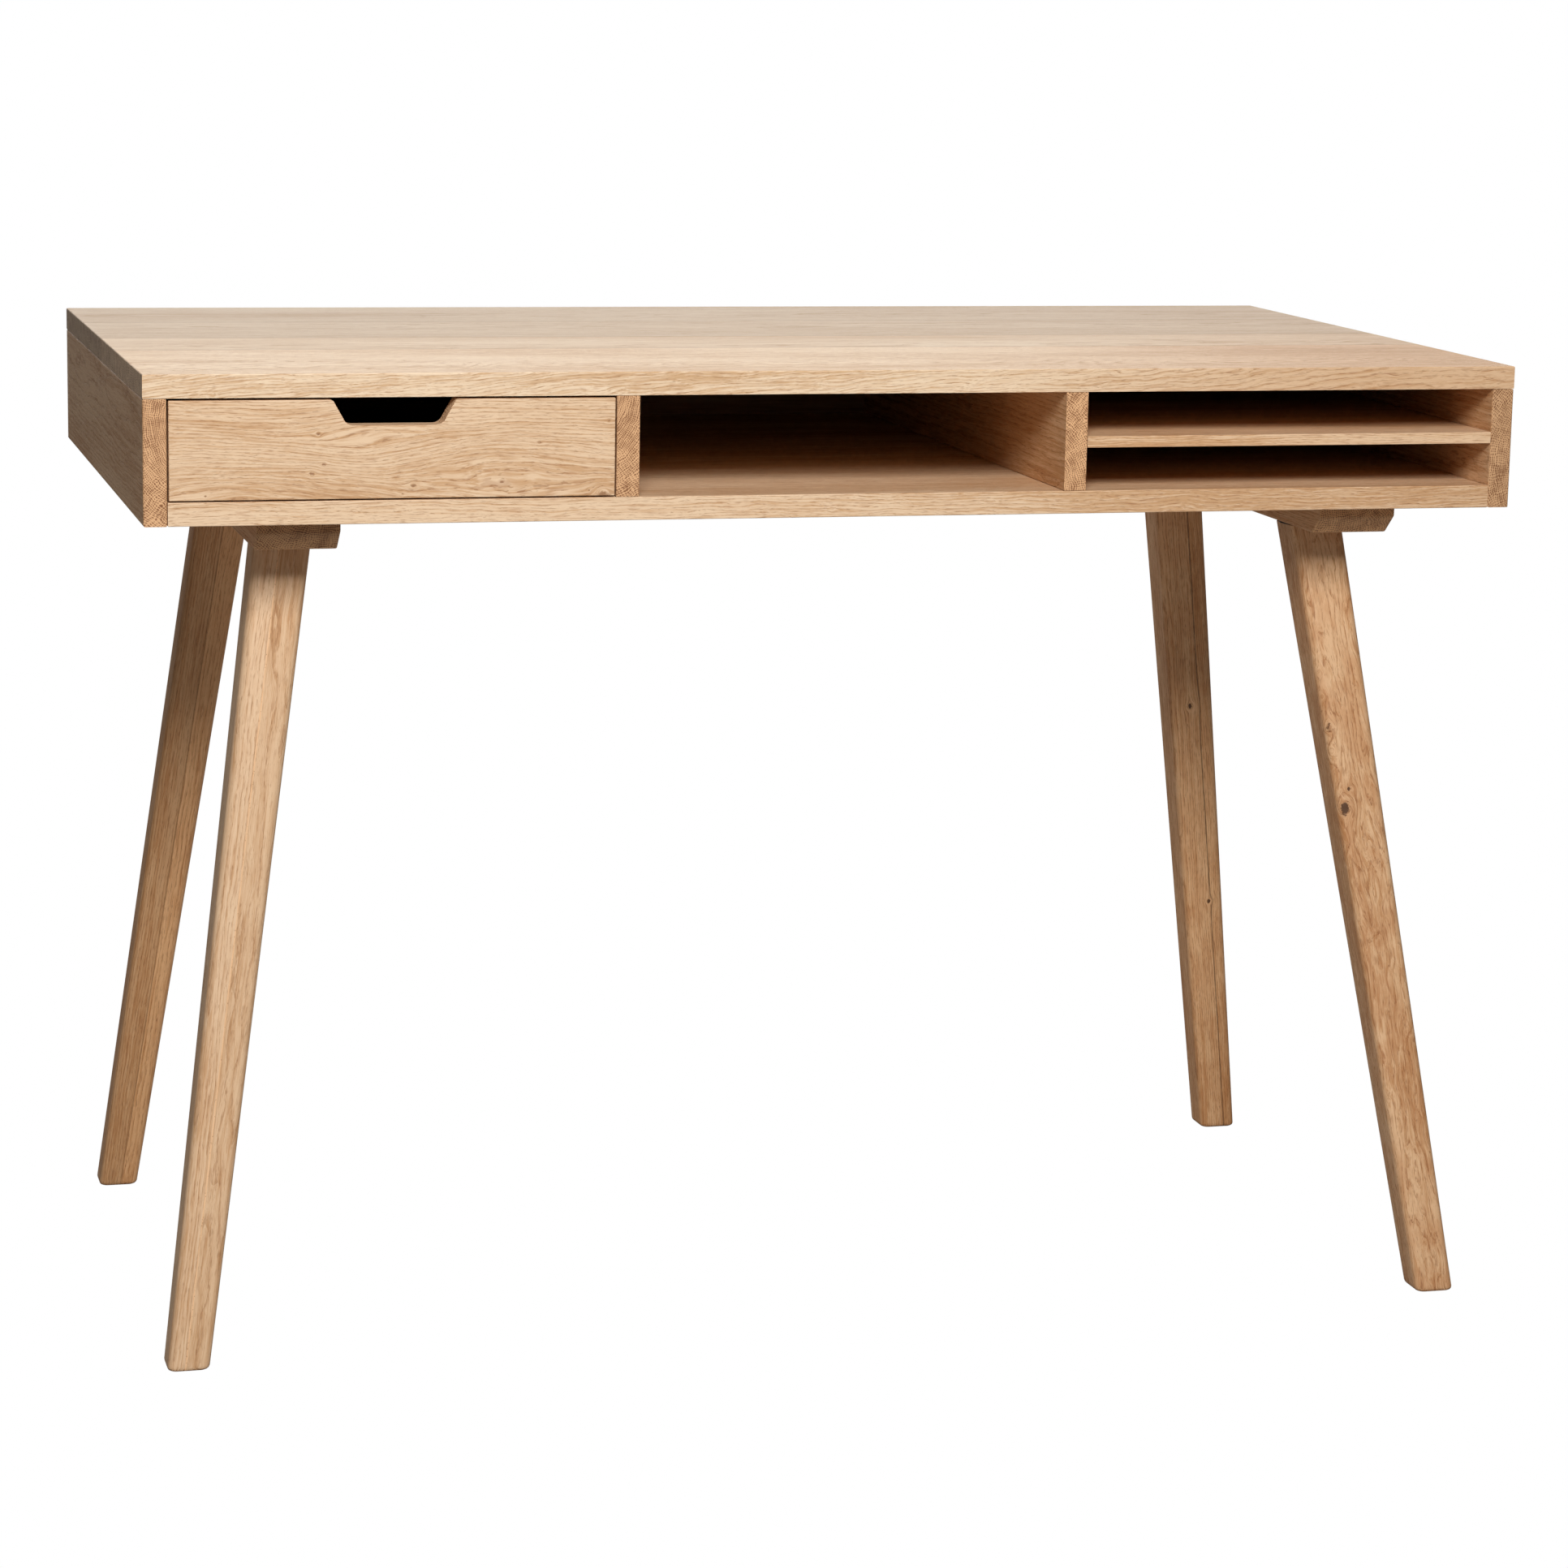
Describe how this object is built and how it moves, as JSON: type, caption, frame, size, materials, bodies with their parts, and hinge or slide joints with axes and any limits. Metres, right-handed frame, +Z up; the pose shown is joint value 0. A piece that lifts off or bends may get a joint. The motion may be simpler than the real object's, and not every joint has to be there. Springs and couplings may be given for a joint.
{
  "type": "writing desk",
  "caption": "Oak writing desk: a shallow case with a drawer, an open bay and a letter shelf, on splayed tapered legs.",
  "frame": {"origin": "on the floor, under the centre of the case", "axes": "+X along the desk's length, to the sitter's right; +Y to the rear; +Z up; the drawer opens towards -Y"},
  "size_m": [1.1, 0.6, 0.775],
  "materials": {
    "oak_case": "oiled solid oak, light",
    "oak_legs": "oiled solid oak, darker",
    "plywood": "unfinished plywood",
    "zinc_steel": "zinc-plated steel",
    "black_steel": "satin black steel"
  },
  "bodies": {
    "desk": {"top_stave_front": "oak_case", "top_stave_second": "oak_case", "top_stave_third": "oak_case", "top_stave_rear": "oak_case", "side_panel_left": "oak_case", "side_panel_right": "oak_case", "divider_left": "oak_case", "divider_right": "oak_case", "bottom_board": "oak_case", "back_panel": "plywood", "letter_shelf": "oak_case", "back_panel_screw_left_lower": "zinc_steel", "back_panel_screw_left_upper": "zinc_steel", "back_panel_screw_right_lower": "zinc_steel", "back_panel_screw_right_upper": "zinc_steel", "cleat_left": "oak_legs", "cleat_left_screw_1": "zinc_steel", "cleat_left_screw_2": "zinc_steel", "cleat_left_screw_3": "zinc_steel", "cleat_left_screw_4": "zinc_steel", "cleat_right": "oak_legs", "cleat_right_screw_1": "zinc_steel", "cleat_right_screw_2": "zinc_steel", "cleat_right_screw_3": "zinc_steel", "cleat_right_screw_4": "zinc_steel", "drawer_stop_left": "oak_case", "drawer_stop_right": "oak_case", "hanger_bolt_front_left": "zinc_steel", "hanger_bolt_front_right": "zinc_steel", "hanger_bolt_rear_left": "zinc_steel", "hanger_bolt_rear_right": "zinc_steel", "leg_front_left": "oak_legs", "leg_front_right": "oak_legs", "leg_plate_front_left": "black_steel", "leg_plate_front_right": "black_steel", "leg_plate_rear_left": "black_steel", "leg_plate_rear_right": "black_steel", "leg_rear_left": "oak_legs", "leg_rear_right": "oak_legs", "tee_nut_front_left": "zinc_steel", "tee_nut_front_right": "zinc_steel", "tee_nut_rear_left": "zinc_steel", "tee_nut_rear_right": "zinc_steel"},
    "drawer": {"drawer_front": "oak_case", "drawer_side_left": "oak_case", "drawer_side_right": "oak_case", "drawer_back": "oak_case", "drawer_bottom": "plywood", "drawer_bottom_screw_left": "zinc_steel", "drawer_bottom_screw_right": "zinc_steel"}
  },
  "joints": [
    {"name": "drawer_slide", "type": "slide", "parent": "desk", "child": "drawer", "axis": [0, -1, 0], "range_m": [0, 0.4]}
  ]
}
